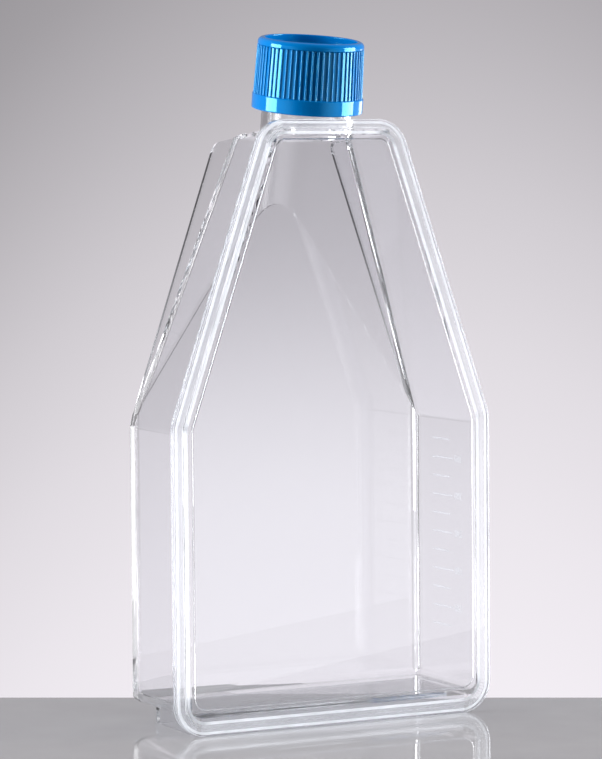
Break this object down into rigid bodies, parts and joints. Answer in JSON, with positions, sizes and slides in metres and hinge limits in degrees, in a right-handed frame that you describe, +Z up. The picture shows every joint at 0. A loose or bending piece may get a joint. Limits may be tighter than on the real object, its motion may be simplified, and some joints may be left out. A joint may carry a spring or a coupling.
{
  "type": "cell culture flask",
  "caption": "Clear flat-sided culture flask with a canted neck, moulded pouring ramp, welded front cover and ribbed blue vented screw cap.",
  "frame": {"origin": "lower front edge of the cover's welded rim, on the flask's centre line, at table level", "axes": "+X across the width, -Y out of the front cover, +Y towards the growth wall, +Z up to the neck"},
  "size_m": [0.122, 0.0479, 0.2394],
  "materials": {
    "clear_polystyrene": "water-clear, polished",
    "blue_polyethylene": "satin gloss",
    "vent_membrane": "matt, porous"
  },
  "bodies": {
    "flask": {"flask_body": "clear_polystyrene", "cover_plate": "clear_polystyrene"},
    "cap_carrier": {"vent_membrane": "vent_membrane"},
    "cap": {"screw_cap": "blue_polyethylene"}
  },
  "joints": [
    {"name": "cap_lift", "type": "slide", "parent": "flask", "child": "cap_carrier", "axis": [0, -0.1564, 0.9877], "range_m": [0, 0.0081]},
    {"name": "cap_turn", "type": "hinge", "parent": "cap_carrier", "child": "cap", "pos_m": [0, 0.02, 0.2124], "axis": [0, -0.1564, 0.9877], "range_deg": [0, 720]}
  ],
  "couplings": [
    {"joint": "cap_lift", "follows": "cap_turn", "m_per_rad": 0.00063662}
  ]
}
